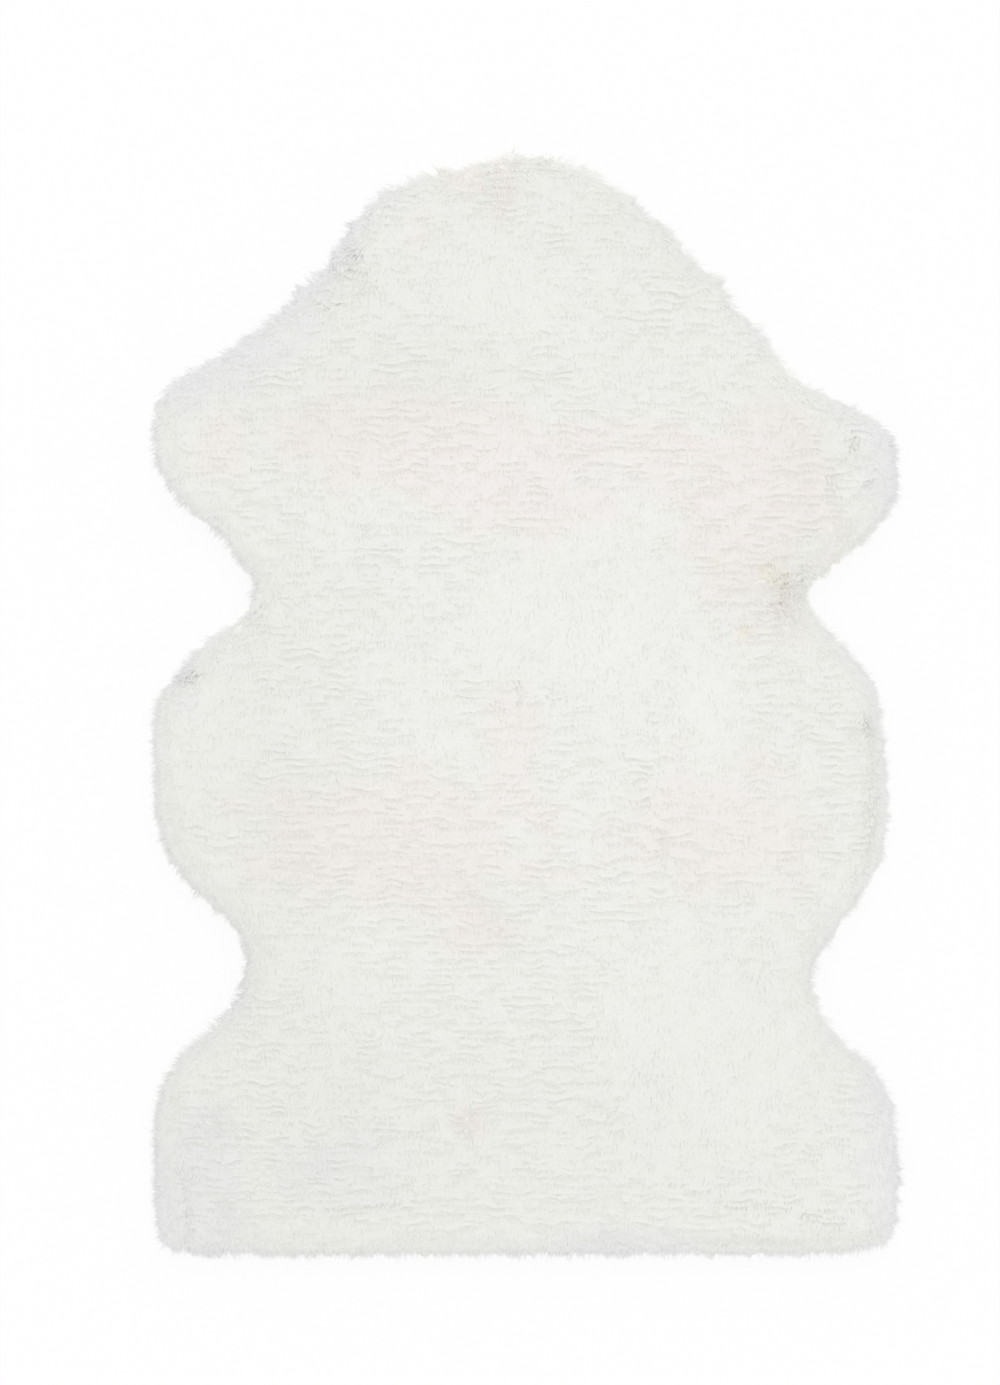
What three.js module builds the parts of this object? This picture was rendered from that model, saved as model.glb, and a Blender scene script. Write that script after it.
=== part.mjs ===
// A rug of faux fur, cut to the outline of a pelt and lying flat.
//
// The rug is one piece of pile cloth: a knitted ground with a dense nap locked into it.
// The solid is the space that ground and nap fill together, from the floor to the tips of
// the hair: flat underneath, rounded at the rim where the hair bends over the cut edge,
// and on top as uneven as the nap lies, with soft troughs where it parts or is pressed.
//
// Millimetres, +Z up, +Y towards the neck. The origin is on the floor, under the middle of
// the rug's box.
import * as THREE from 'three';
import { mergeGeometries, mergeVertices } from 'three/addons/utils/BufferGeometryUtils.js';

// ---------------------------------------------------------------- driving dimensions

const LENGTH = 900; // from the neck's crest to the hem, over the hair
const WIDTH = 610; // across the widest lobes, over the hair
const PILE_HEIGHT = 24; // from the floor to the tips of the standing nap
const RIM_HEIGHT = 7; // height of the outermost hair tips over the floor
const RIM_RUN = 22; // how far in from the edge the nap reaches its full height
const RIM_FULLNESS = 4; // exponent of the rim's curve: 2 is an ellipse, more is fuller
const UNDERCUT = 3; // how far the face on the floor lies inside the hair's reach
const CORNER_EASE = 6; // the undercut turns a corner of the edge over at least this far

// The pelt's outline. Each row is a section straight across the rug: how far down it lies
// from the neck's crest, and how far the hair reaches to the left and right of the middle.
const SECTIONS = [
  // the neck
  { down: 0, left: 12, right: 20 },
  { down: 4, left: 28, right: 31 },
  { down: 9, left: 44, right: 44 },
  { down: 18, left: 77, right: 62 },
  { down: 28, left: 116, right: 75 },
  { down: 45, left: 131, right: 95 },
  { down: 72, left: 151, right: 125 },
  { down: 105, left: 177, right: 156 },
  { down: 136, left: 209, right: 184 },
  { down: 155, left: 233, right: 200 },
  // the forelegs
  { down: 172, left: 263, right: 212 },
  { down: 184, left: 288, right: 226 },
  { down: 196, left: 299, right: 246 },
  { down: 208, left: 303, right: 268 },
  { down: 219, left: 305, right: 293 },
  { down: 236, left: 305, right: 301 },
  { down: 262, left: 300, right: 304 },
  { down: 283, left: 285, right: 303 },
  { down: 301, left: 266, right: 294 },
  { down: 320, left: 245, right: 275 },
  // the upper waist
  { down: 337, left: 232, right: 251 },
  { down: 354, left: 222, right: 235 },
  { down: 368, left: 226, right: 233 },
  { down: 383, left: 243, right: 241 },
  // the flanks
  { down: 406, left: 269, right: 264 },
  { down: 430, left: 292, right: 282 },
  { down: 455, left: 303, right: 291 },
  { down: 500, left: 304, right: 295 },
  { down: 546, left: 301, right: 297 },
  { down: 577, left: 291, right: 291 },
  { down: 600, left: 272, right: 279 },
  { down: 622, left: 249, right: 264 },
  // the lower waist
  { down: 640, left: 234, right: 251 },
  { down: 664, left: 230, right: 237 },
  { down: 680, left: 232, right: 234 },
  { down: 698, left: 242, right: 241 },
  // the haunches
  { down: 724, left: 269, right: 260 },
  { down: 748, left: 291, right: 286 },
  { down: 776, left: 301, right: 299 },
  { down: 820, left: 304, right: 305 },
  { down: 866, left: 302, right: 303 },
  // the hem
  { down: 886, left: 300, right: 301 },
  { down: 893, left: 296, right: 292 },
  { down: 898, left: 283, right: 262 },
  { down: 900, left: 262, right: 225 },
];

// Where the nap is pressed down or parts widely, each as one soft stroke from (x1, y1) to
// (x2, y2). width is across the stroke; depth is how far the nap lies lower along its
// middle, and a negative depth is a ridge that stands proud.
const STROKES = [
  { name: 'left shoulder', x1: -162, y1: 364, x2: -140, y2: 336, width: 30, depth: 1.8 },
  { name: 'right foreleg', x1: 262, y1: 222, x2: 272, y2: 176, width: 28, depth: 1.8 },
  { name: 'beside the right foreleg', x1: 238, y1: 204, x2: 232, y2: 158, width: 26, depth: -1.2 },
  { name: 'right upper waist', x1: 204, y1: 106, x2: 215, y2: 82, width: 34, depth: 2.0 },
  { name: 'left flank', x1: -288, y1: 19, x2: -262, y2: 21, width: 24, depth: 1.8 },
  { name: 'middle', x1: -8, y1: 58, x2: 14, y2: 46, width: 34, depth: -0.8 },
  { name: 'right flank', x1: 281, y1: -20, x2: 276, y2: -138, width: 28, depth: 1.5 },
  { name: 'below the middle', x1: -64, y1: -150, x2: -8, y2: -192, width: 56, depth: 0.8 },
  { name: 'left haunch', x1: -272, y1: -384, x2: -279, y2: -436, width: 26, depth: 1.8 },
  { name: 'hem, left', x1: -168, y1: -413, x2: -98, y2: -411, width: 28, depth: 1.0 },
  { name: 'hem, middle', x1: 80, y1: -384, x2: 118, y2: -399, width: 28, depth: 0.6 },
  { name: 'hem, right', x1: 148, y1: -408, x2: 286, y2: -428, width: 28, depth: 0.9 },
];

// The broad, slow unevenness of a fur that has been rolled and shaken out.
const SWELL_HEIGHT = 1.2; // how far it lifts or lowers the nap
const SWELL_ACROSS = 210; // from crest to crest across the rug
const SWELL_ALONG = 260; // and along it

const ROW_STEP = 13; // about this far between the rows of the pile's mesh
const RIM_COLUMNS = [0, 1, 3, 7, 14, 26]; // columns of the mesh near each side, from the edge in
const MIDDLE_COLUMNS = 34; // spans between the innermost of those columns

// ---------------------------------------------------------------- the outline

// One side of the pelt as a smooth curve down through the sections.
function sideCurve(reach) {
  const points = SECTIONS.map((s) => new THREE.Vector3(reach(s), LENGTH / 2 - s.down, 0));
  return new THREE.CatmullRomCurve3(points, false, 'centripetal');
}

// Rows of the mesh: the sections themselves and even steps between them.
function rowParameters() {
  const spans = SECTIONS.length - 1;
  const parameters = [];
  for (let i = 0; i < spans; i++) {
    const steps = Math.max(1, Math.round((SECTIONS[i + 1].down - SECTIONS[i].down) / ROW_STEP));
    for (let k = 0; k < steps; k++) parameters.push((i + k / steps) / spans);
  }
  return [...parameters, 1];
}

const leftCurve = sideCurve((s) => -s.left);
const rightCurve = sideCurve((s) => s.right);
const rows = rowParameters().map((t) => ({
  left: leftCurve.getPoint(t),
  right: rightCurve.getPoint(t),
}));
const columns = 2 * (RIM_COLUMNS.length - 1) + MIDDLE_COLUMNS;

// A point of the mesh, straight across a row. The first and last columns lie on the edge.
function gridPoint(row, column) {
  const { left, right } = rows[row];
  const span = left.distanceTo(right);
  const last = RIM_COLUMNS.length - 1;
  const squeeze = Math.min(1, span / (4 * RIM_COLUMNS[last]));
  const inset = RIM_COLUMNS[last] * squeeze;
  let across;
  if (column < last) across = RIM_COLUMNS[column] * squeeze;
  else if (column > columns - last) across = span - RIM_COLUMNS[columns - column] * squeeze;
  else across = inset + ((span - 2 * inset) * (column - last)) / MIDDLE_COLUMNS;
  return left.clone().lerp(right, across / span);
}

// The edge as one loop of points, counter-clockwise seen from above.
function edgeLoop() {
  const lastRow = rows.length - 1;
  const loop = [];
  for (let r = 0; r < lastRow; r++) loop.push(gridPoint(r, 0));
  for (let c = 0; c < columns; c++) loop.push(gridPoint(lastRow, c));
  for (let r = lastRow; r > 0; r--) loop.push(gridPoint(r, columns));
  for (let c = columns; c > 0; c--) loop.push(gridPoint(0, c));
  return loop;
}

const edge = edgeLoop();

// ---------------------------------------------------------------- heights

// Distance from a point to the stretch between two others, all on the floor's plane.
function distanceToSegment(x, y, x1, y1, x2, y2) {
  const dx = x2 - x1;
  const dy = y2 - y1;
  const along = THREE.MathUtils.clamp(((x - x1) * dx + (y - y1) * dy) / (dx * dx + dy * dy), 0, 1);
  return Math.hypot(x - x1 - along * dx, y - y1 - along * dy);
}

function distanceToEdge(x, y) {
  let nearest = Infinity;
  edge.forEach((a, i) => {
    const b = edge[(i + 1) % edge.length];
    nearest = Math.min(nearest, distanceToSegment(x, y, a.x, a.y, b.x, b.y));
  });
  return nearest;
}

// How far all the strokes lower the nap at a point: each is a smooth bell across its width.
function strokeDepth(x, y) {
  return STROKES.reduce((sum, s) => {
    const reach = distanceToSegment(x, y, s.x1, s.y1, s.x2, s.y2) / (s.width / 2);
    return sum + s.depth * Math.exp(-reach * reach);
  }, 0);
}

function swell(x, y) {
  const across = Math.sin((2 * Math.PI * x) / SWELL_ACROSS + y / SWELL_ALONG);
  const along = Math.cos((2 * Math.PI * y) / SWELL_ALONG);
  return SWELL_HEIGHT * across * along;
}

// Height of the nap over the floor: it rises from the rim's tips in a full curve.
function napHeight(x, y) {
  const out = 1 - Math.min(1, distanceToEdge(x, y) / RIM_RUN);
  const rise = (1 - out ** RIM_FULLNESS) ** (1 / RIM_FULLNESS);
  const full = PILE_HEIGHT - RIM_HEIGHT - SWELL_HEIGHT + swell(x, y) - strokeDepth(x, y);
  return RIM_HEIGHT + full * rise;
}

// ---------------------------------------------------------------- the surfaces

// Leaves only positions, so that the surfaces can be welded where they meet.
function bare(geometry) {
  geometry.deleteAttribute('normal');
  geometry.deleteAttribute('uv');
  return geometry;
}

// The top: a plane whose grid is laid over the pelt and lifted to the nap's height.
function napSurface() {
  const surface = new THREE.PlaneGeometry(1, 1, columns, rows.length - 1);
  const place = surface.attributes.position;
  for (let r = 0; r < rows.length; r++) {
    for (let c = 0; c <= columns; c++) {
      const p = gridPoint(r, c);
      place.setXYZ(r * (columns + 1) + c, p.x, p.y, napHeight(p.x, p.y));
    }
  }
  return bare(surface);
}

// The nearest point of the edge that is CORNER_EASE or more from point i, one way round.
function edgeNeighbour(i, way) {
  let k = i;
  while (edge[k].distanceTo(edge[i]) < CORNER_EASE) k = (k + way + edge.length) % edge.length;
  return edge[k];
}

// The edge drawn in, for the face that lies on the floor.
function undersideLoop() {
  return edge.map((p, i) => {
    const along = edgeNeighbour(i, 1).clone().sub(edgeNeighbour(i, -1)).normalize();
    return new THREE.Vector3(p.x - along.y * UNDERCUT, p.y + along.x * UNDERCUT, 0);
  });
}

// The band under the outermost tips, from the edge down to the face on the floor.
function rimBand(floorLoop) {
  const band = new THREE.PlaneGeometry(1, 1, edge.length, 1);
  const place = band.attributes.position;
  for (let i = 0; i <= edge.length; i++) {
    const tip = edge[i % edge.length];
    const foot = floorLoop[i % edge.length];
    place.setXYZ(i, tip.x, tip.y, napHeight(tip.x, tip.y));
    place.setXYZ(edge.length + 1 + i, foot.x, foot.y, foot.z);
  }
  return bare(band);
}

// The flat face on the floor, turned over so that it looks down.
function underside(floorLoop) {
  const shape = new THREE.Shape(floorLoop.map((p) => new THREE.Vector2(p.x, p.y)));
  const face = new THREE.ShapeGeometry(shape);
  const { array } = face.index;
  for (let i = 0; i < array.length; i += 3) [array[i], array[i + 1]] = [array[i + 1], array[i]];
  return bare(face);
}

function furRug() {
  const floorLoop = undersideLoop();
  const skin = mergeGeometries([napSurface(), rimBand(floorLoop), underside(floorLoop)]);
  const geometry = mergeVertices(skin, 0.01);
  geometry.computeBoundingBox();
  const middle = geometry.boundingBox.getCenter(new THREE.Vector3());
  const size = geometry.boundingBox.getSize(new THREE.Vector3());
  geometry.translate(-middle.x, -middle.y, 0);
  geometry.scale(WIDTH / size.x, LENGTH / size.y, 1);
  geometry.computeVertexNormals();
  const material = new THREE.MeshStandardMaterial({ color: 0xece9e1, roughness: 0.9, metalness: 0 });
  const rug = new THREE.Mesh(geometry, material);
  rug.name = 'fur_rug';
  return rug;
}

const model = new THREE.Group();
model.add(furRug());

export default model;
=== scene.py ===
# %% [markdown]
# # A pelt-shaped faux-fur rug
# The rug is one piece of fake fur: a thin knitted ground cloth with a dense, short nap of
# soft hair locked into it. It was cut to the outline of a pelt and lies flat. In this lesson
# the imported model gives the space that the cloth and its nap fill, and Blender grows the
# hair in that space, so the model is loaded first and stays as it is.

# %% Load the frame
import math

import bmesh
import bpy
import numpy as np
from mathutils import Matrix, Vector, noise
from mathutils.bvhtree import BVHTree


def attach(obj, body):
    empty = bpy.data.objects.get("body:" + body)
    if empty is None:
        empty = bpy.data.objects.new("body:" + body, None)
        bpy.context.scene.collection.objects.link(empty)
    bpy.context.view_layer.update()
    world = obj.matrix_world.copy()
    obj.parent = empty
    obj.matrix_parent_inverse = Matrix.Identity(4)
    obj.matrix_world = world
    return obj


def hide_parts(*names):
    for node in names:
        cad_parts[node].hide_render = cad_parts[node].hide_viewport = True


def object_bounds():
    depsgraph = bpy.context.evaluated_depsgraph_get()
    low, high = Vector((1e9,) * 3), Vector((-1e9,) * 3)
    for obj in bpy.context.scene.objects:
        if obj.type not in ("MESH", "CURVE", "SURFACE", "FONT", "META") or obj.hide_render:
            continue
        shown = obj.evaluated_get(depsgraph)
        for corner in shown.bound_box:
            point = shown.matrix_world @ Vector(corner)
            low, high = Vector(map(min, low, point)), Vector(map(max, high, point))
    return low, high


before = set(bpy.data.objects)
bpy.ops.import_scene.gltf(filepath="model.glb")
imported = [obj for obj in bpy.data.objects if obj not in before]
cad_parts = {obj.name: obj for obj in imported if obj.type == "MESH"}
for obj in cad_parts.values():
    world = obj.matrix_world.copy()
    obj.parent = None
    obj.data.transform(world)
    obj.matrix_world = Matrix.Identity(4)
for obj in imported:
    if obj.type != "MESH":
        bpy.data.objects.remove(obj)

MM = 0.001
rug_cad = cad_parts["fur_rug"]
cad_low, cad_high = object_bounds()
print("rug box in mm:", [round(v / MM, 1) for v in (cad_high - cad_low)])

# %% [markdown]
# ## The camera
# The rug is looked at from straight above, as it lies on the floor. A long lens keeps its
# outline true: nothing leans, and the near rim isn't larger than the far one. The view is
# set by how much floor it takes in, and the distance follows from the lens.

# %% The camera
VIEW_HEIGHT = 1126 * MM  # floor seen from the bottom to the top of the view
VIEW_CENTRE = Vector((-21 * MM, 9 * MM, 0))  # what lies in the middle of the view
LENS_MM = 85
SENSOR_MM = 36

camera_data = bpy.data.cameras.new("camera")
camera_data.lens = LENS_MM
camera_data.sensor_width = SENSOR_MM
camera = bpy.data.objects.new("camera", camera_data)
bpy.context.collection.objects.link(camera)
camera_distance = VIEW_HEIGHT * LENS_MM / SENSOR_MM
camera.location = VIEW_CENTRE + Vector((0, 0, camera_distance + cad_high.z))
bpy.context.scene.camera = camera
print("camera height in m:", round(camera.location.z, 3))

# %% [markdown]
# ## The studio
# A white rug on a white floor only reads by its soft shade, so the light is broad: a white
# room all round, and one large soft lamp high up beyond the neck. Together they light a level
# surface at just under strength 1, where a colour renders as it is written. White hair passes
# light on from strand to strand, so it may bounce more often than usual, which lifts the rim
# a little. The floor is white paper, which goes on out of sight.

# %% Helpers for objects and colours
def select_only(piece):
    """Selects one object and nothing else, and makes it the active one."""
    bpy.ops.object.select_all(action="DESELECT")
    piece.select_set(True)
    bpy.context.view_layer.objects.active = piece


def colour(hex_code):
    """An sRGB colour such as '#f4f1ea' as the linear RGBA that shaders take."""
    parts = [int(hex_code[i:i + 2], 16) / 255 for i in (1, 3, 5)]
    linear = [c / 12.92 if c <= 0.04045 else ((c + 0.055) / 1.055) ** 2.4 for c in parts]
    return (*linear, 1.0)


def add_node(tree, kind, settings=None, inputs=None):
    """Adds a node. Inputs are plain values, or another node's output socket to link."""
    node = tree.nodes.new(kind)
    for name, value in (settings or {}).items():
        setattr(node, name, value)
    for name, value in (inputs or {}).items():
        if isinstance(value, bpy.types.NodeSocket):
            tree.links.new(value, node.inputs[name])
        else:
            node.inputs[name].default_value = value
    return node


def new_material(name):
    """An empty node material and its output node."""
    material = bpy.data.materials.new(name)
    material.use_nodes = True
    material.node_tree.nodes.clear()
    output = material.node_tree.nodes.new("ShaderNodeOutputMaterial")
    return material, material.node_tree, output


# %% The room and the lamps
ROOM_LIGHT = 0.835  # what the white room adds to a level white surface
KEY_LIGHT = 0.125  # what the key lamp adds to it
KEY_ELEVATION = math.radians(48)
KEY_TURN = math.radians(8)  # from the neck end, towards the rug's right side
KEY_WIDTH = math.radians(50)  # how wide the lamp looks from the rug
KEY_DISTANCE = 3.0  # in metres; a sun lamp lights alike from any distance
DIFFUSE_BOUNCES = 12

world = bpy.data.worlds.new("white_room")
world.use_nodes = True
bpy.context.scene.world = world
world.node_tree.nodes.clear()
path = add_node(world.node_tree, "ShaderNodeLightPath")
seen = add_node(world.node_tree, "ShaderNodeMath", {"operation": "MAXIMUM"},
                {0: path.outputs["Is Camera Ray"], 1: path.outputs["Is Glossy Ray"]})
strength = add_node(world.node_tree, "ShaderNodeMapRange", None,
                    {"Value": seen.outputs[0], "To Min": ROOM_LIGHT, "To Max": 1.0})
room = add_node(world.node_tree, "ShaderNodeBackground", None,
                {"Color": (1, 1, 1, 1), "Strength": strength.outputs[0]})
world_output = add_node(world.node_tree, "ShaderNodeOutputWorld", None,
                        {"Surface": room.outputs[0]})

sun = bpy.data.lights.new("soft_key", "SUN")
sun.energy = KEY_LIGHT * math.pi / math.sin(KEY_ELEVATION)
sun.angle = KEY_WIDTH
key = bpy.data.objects.new("soft_key", sun)
bpy.context.collection.objects.link(key)
towards_key = Vector((math.sin(KEY_TURN) * math.cos(KEY_ELEVATION),
                      math.cos(KEY_TURN) * math.cos(KEY_ELEVATION), math.sin(KEY_ELEVATION)))
key.location = towards_key * KEY_DISTANCE
key.rotation_euler = (-towards_key).to_track_quat("-Z", "Y").to_euler()
bpy.context.scene.cycles.diffuse_bounces = DIFFUSE_BOUNCES

# %% The floor
FLOOR_SIZE = 14.0  # in metres
PAPER_GLOW = 0.9  # the share of plain white that the camera sees; the rest holds the shadow

bpy.ops.object.select_all(action="DESELECT")
bpy.ops.mesh.primitive_plane_add(size=FLOOR_SIZE, location=(0, 0, 0))
floor = bpy.context.object
floor.name = "floor"
paper, tree, output = new_material("white_paper_floor")
matt = add_node(tree, "ShaderNodeBsdfDiffuse", None, {"Color": colour("#ffffff")})
glow = add_node(tree, "ShaderNodeEmission", None, {"Color": (1, 1, 1, 1), "Strength": 1.0})
path = add_node(tree, "ShaderNodeLightPath")
seen = add_node(tree, "ShaderNodeMath", {"operation": "MULTIPLY"},
                {0: path.outputs["Is Camera Ray"], 1: PAPER_GLOW})
both = add_node(tree, "ShaderNodeMixShader", None,
                {0: seen.outputs[0], 1: matt.outputs[0], 2: glow.outputs[0]})
tree.links.new(both.outputs[0], output.inputs["Surface"])
floor.data.materials.append(paper)
bpy.context.scene.view_settings.view_transform = "Standard"

# %% [markdown]
# ## The knitted ground
# Under the hair is the cloth that holds it: a warp-knitted ground about 2 mm thick. The
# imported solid's face on the floor already has the cut's outline, so that face is copied,
# drawn in to where the scissors went, and pulled up to the cloth's thickness.

# %% Copy the face on the floor
GROUND_THICKNESS = 2.0 * MM
CUT_INSET = 5.0 * MM  # the cut is taken to lie this far inside the face on the floor
WELD_DISTANCE = 0.01 * MM
FACES_DOWN = -0.99  # a face whose normal points down at least this much is level
ON_FLOOR = 0.1 * MM  # and lies on the floor if its middle is below this


def cad_copy(name):
    """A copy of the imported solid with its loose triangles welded, as a new piece."""
    piece = bpy.data.objects.new(name, rug_cad.data.copy())
    bpy.context.collection.objects.link(piece)
    piece.data.materials.clear()
    select_only(piece)
    bpy.ops.object.mode_set(mode="EDIT")
    bpy.ops.mesh.select_all(action="SELECT")
    bpy.ops.mesh.remove_doubles(threshold=WELD_DISTANCE)
    bpy.ops.object.mode_set(mode="OBJECT")
    return piece


def select_faces(piece, wanted):
    """In edit mode, selects the faces for which wanted(face) is true."""
    bm = bmesh.from_edit_mesh(piece.data)
    for face in bm.faces:
        face.select_set(bool(wanted(face)))
    bm.select_flush_mode()
    bmesh.update_edit_mesh(piece.data)


def lies_on_floor(face):
    """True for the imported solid's face on the floor."""
    return face.normal.z < FACES_DOWN and face.calc_center_median().z < ON_FLOOR


ground = cad_copy("knitted_ground")
bpy.ops.object.mode_set(mode="EDIT")
bpy.ops.mesh.select_mode(type="FACE")
select_faces(ground, lambda face: not lies_on_floor(face))
bpy.ops.mesh.delete(type="FACE")
bpy.ops.mesh.select_all(action="SELECT")
bpy.ops.mesh.dissolve_faces()
bpy.ops.object.mode_set(mode="OBJECT")
floor_face = ground.data.polygons[0]
floor_loop = np.array([ground.data.vertices[i].co[:2] for i in floor_face.vertices])
print("faces left:", len(ground.data.polygons), "points round the edge:", len(floor_loop))

# %% Draw it in to the cut and give it its thickness
bpy.ops.object.mode_set(mode="EDIT")
bpy.ops.mesh.select_all(action="SELECT")
bpy.ops.mesh.inset(thickness=CUT_INSET, depth=0)
bpy.ops.mesh.select_all(action="INVERT")
bpy.ops.mesh.delete(type="FACE")
bpy.ops.mesh.select_all(action="SELECT")
bpy.ops.mesh.extrude_region_move(TRANSFORM_OT_translate={"value": (0, 0, GROUND_THICKNESS)})
bpy.ops.mesh.select_all(action="SELECT")
bpy.ops.mesh.normals_make_consistent(inside=False)
bpy.ops.object.mode_set(mode="OBJECT")

# %% Soften the cut edge
EDGE_ROUNDING = 0.6 * MM
SMOOTH_BELOW = math.radians(40)  # edges flatter than this are shaded smooth

select_only(ground)
rounding = ground.modifiers.new("rounding", "BEVEL")
rounding.width = EDGE_ROUNDING
rounding.segments = 2
rounding.limit_method = "ANGLE"
bpy.ops.object.modifier_apply(modifier="rounding")
bpy.ops.object.shade_smooth_by_angle(angle=SMOOTH_BELOW)
print("ground cloth:", len(ground.data.vertices), "points")

# %% [markdown]
# ## A chart of the nap
# Hair grows one strand at a time, so the script has to know at any place how high the nap
# stands, how far off the edge is and which way leads out of the rug. These are worked out
# once on a chart of small squares, and each strand then reads the chart where it stands.

# %% The chart's squares and a way to read them
CHART_STEP = 2 * MM
CHART_MARGIN = 14 * MM
LAST_SQUARE = 1.001  # keeps a reading at the far side inside the last square
SEED_STEP = 7.31  # how far apart two seeds lie in the noise
NOISE_GAIN = 1.6  # the noise seldom comes near 1 on its own

chart_x = np.arange(cad_low.x - CHART_MARGIN, cad_high.x + CHART_MARGIN, CHART_STEP)
chart_y = np.arange(cad_low.y - CHART_MARGIN, cad_high.y + CHART_MARGIN, CHART_STEP)
grid_x, grid_y = np.meshgrid(chart_x, chart_y)


def read_chart(field, x, y):
    """The chart's value at each place, mixed from the four squares around it."""
    column = np.clip((x - chart_x[0]) / CHART_STEP, 0, len(chart_x) - LAST_SQUARE)
    row = np.clip((y - chart_y[0]) / CHART_STEP, 0, len(chart_y) - LAST_SQUARE)
    i, j = column.astype(int), row.astype(int)
    across, along = column - i, row - j
    low = field[j, i] * (1 - across) + field[j, i + 1] * across
    high = field[j + 1, i] * (1 - across) + field[j + 1, i + 1] * across
    return low * (1 - along) + high * along


def smooth_step(value, start, end):
    """0 before the start, 1 past the end, and an even slope with soft ends between."""
    t = np.clip((value - start) / (end - start), 0, 1)
    return t * t * (3 - 2 * t)


def soft_noise(size_x, size_y, seed):
    """Smooth noise over the chart, from -1 to 1, with lumps of about the given size."""
    values = [noise.noise(Vector((x / size_x, y / size_y, seed * SEED_STEP)))
              for x, y in zip(grid_x.ravel(), grid_y.ravel())]
    return np.clip(np.array(values).reshape(grid_x.shape) * NOISE_GAIN, -1, 1)


def with_patches(field, patches, start, end, patchy=0):
    """The field with each row's amount added in its oval, fading from start to end.

    Start and end are shares of the oval's size, and patchy makes its border uneven.
    """
    for _, x, y, half_width, half_length, amount in patches:
        far = np.hypot((grid_x - x * MM) / (half_width * MM),
                       (grid_y - y * MM) / (half_length * MM))
        field = field + amount * (1 - smooth_step(far + patchy, start, end))
    return field


print("chart:", grid_x.shape)

# %% How far the edge is and which way is out
HAIR_OVERHANG = 0.5 * MM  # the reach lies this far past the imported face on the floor
EDGE_BLUR = 12  # rounds of blurring before the way out is read, so that corners fan out


def inside_distance(x, y):
    """How far inside the hair's reach each place lies. Outside it is negative."""
    nearest = np.full(x.shape, np.inf)
    inside = np.zeros(x.shape, bool)
    for (ax, ay), (bx, by) in zip(floor_loop, np.roll(floor_loop, -1, axis=0)):
        dx, dy = bx - ax, by - ay
        share = np.clip(((x - ax) * dx + (y - ay) * dy) / (dx * dx + dy * dy), 0, 1)
        nearest = np.minimum(nearest, np.hypot(x - ax - share * dx, y - ay - share * dy))
        if dy != 0:
            inside ^= ((ay > y) != (by > y)) & (x < ax + dx * (y - ay) / dy)
    return np.where(inside, nearest, -nearest) + HAIR_OVERHANG


def blurred(field, rounds):
    """The field with each square mixed with its neighbours, several times over."""
    for _ in range(rounds):
        padded = np.pad(field, 1, mode="edge")
        field = (padded[:-2, 1:-1] + padded[2:, 1:-1] + padded[1:-1, :-2] + padded[1:-1, 2:]
                 + 2 * field) / 6
    return field


edge_chart = inside_distance(grid_x, grid_y)
slope_y, slope_x = np.gradient(blurred(edge_chart, EDGE_BLUR), CHART_STEP)
steep = np.maximum(np.hypot(slope_x, slope_y), 1e-6)
out_x, out_y = -slope_x / steep, -slope_y / steep
print("inside the reach:", int((edge_chart > 0).sum()), "squares")

# %% How ragged the reach is
# At the rim the hair gathers in tufts. Where the chart of tufts is high the hair reaches
# farther out, and tips are drawn up the chart's slope, so that they meet in points. The
# tufts are longest on the neck.
TUFT_REACH = 4.4 * MM  # how far a strong tuft stands out
SLOW_REACH = 1.3 * MM  # how far the reach swings over a longer stretch

# x and y of the middle, half width and half length in mm, and how much longer the tufts are.
SHAGGY = [
    ("left slope of the neck", -150, 350, 60, 60, 1.0),
    ("crest of the neck", -30, 440, 90, 40, 3.0),
    ("right slope of the neck", 110, 350, 80, 90, 2.3),
    ("right flank", 300, -60, 40, 110, 0.3),
    ("left flank", -300, -40, 40, 100, -0.5),
    ("left haunch", -300, -360, 50, 90, -0.6),
    ("right foreleg", 290, 190, 40, 50, -0.3),
    ("hem", 0, -445, 280, 20, -0.25),
]

tufts = 0.75 * soft_noise(10 * MM, 10 * MM, 11) + 0.45 * soft_noise(5 * MM, 5 * MM, 16)
tufts *= with_patches(1, SHAGGY, 0.6, 1.4)
ragged = TUFT_REACH * tufts + SLOW_REACH * soft_noise(24 * MM, 24 * MM, 12)
draw_y, draw_x = np.gradient(tufts, CHART_STEP)
print("reach varies in mm by", (np.quantile(ragged, (0.02, 0.98)) / MM).round(1))

# %% How high the nap stands
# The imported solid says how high. Close to the edge its side falls too steeply for hair, so
# from there on the height farther in is carried outwards, less a soft droop.
DROOP = 2.5 * MM  # how far the hair has dropped at the edge
DROOP_RUN = 12 * MM  # where the droop begins, measured from the edge
LEAST_HEIGHT = 1.5 * MM

surface = BVHTree.FromPolygons([v.co for v in rug_cad.data.vertices],
                               [p.vertices for p in rug_cad.data.polygons])
heights = []
for x, y in zip(grid_x.ravel(), grid_y.ravel()):
    hit = surface.ray_cast(Vector((x, y, 1)), Vector((0, 0, -1)))[0]
    heights.append(hit.z if hit else 0)
height_chart = np.array(heights).reshape(grid_x.shape)
short = np.maximum(DROOP_RUN - edge_chart, 0)
height_chart = read_chart(height_chart, grid_x - out_x * short, grid_y - out_y * short)
height_chart = np.maximum(height_chart - DROOP * (short / DROOP_RUN) ** 2, LEAST_HEIGHT)
rim_height = np.median(height_chart[(edge_chart > 0) & (edge_chart < CHART_STEP)])
print("nap height in mm:", round(height_chart.max() / MM, 1), "rim", round(rim_height / MM, 1))

# %% [markdown]
# ## Which way the hair lies
# The nap leans towards the hem, as a hand would stroke it, and turns outwards close to the
# edge. It isn't even: there are partings, where the hair is thrown to both sides of a line,
# and ruffled spots, where it turns about a point. Each has its row in a short table.

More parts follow.
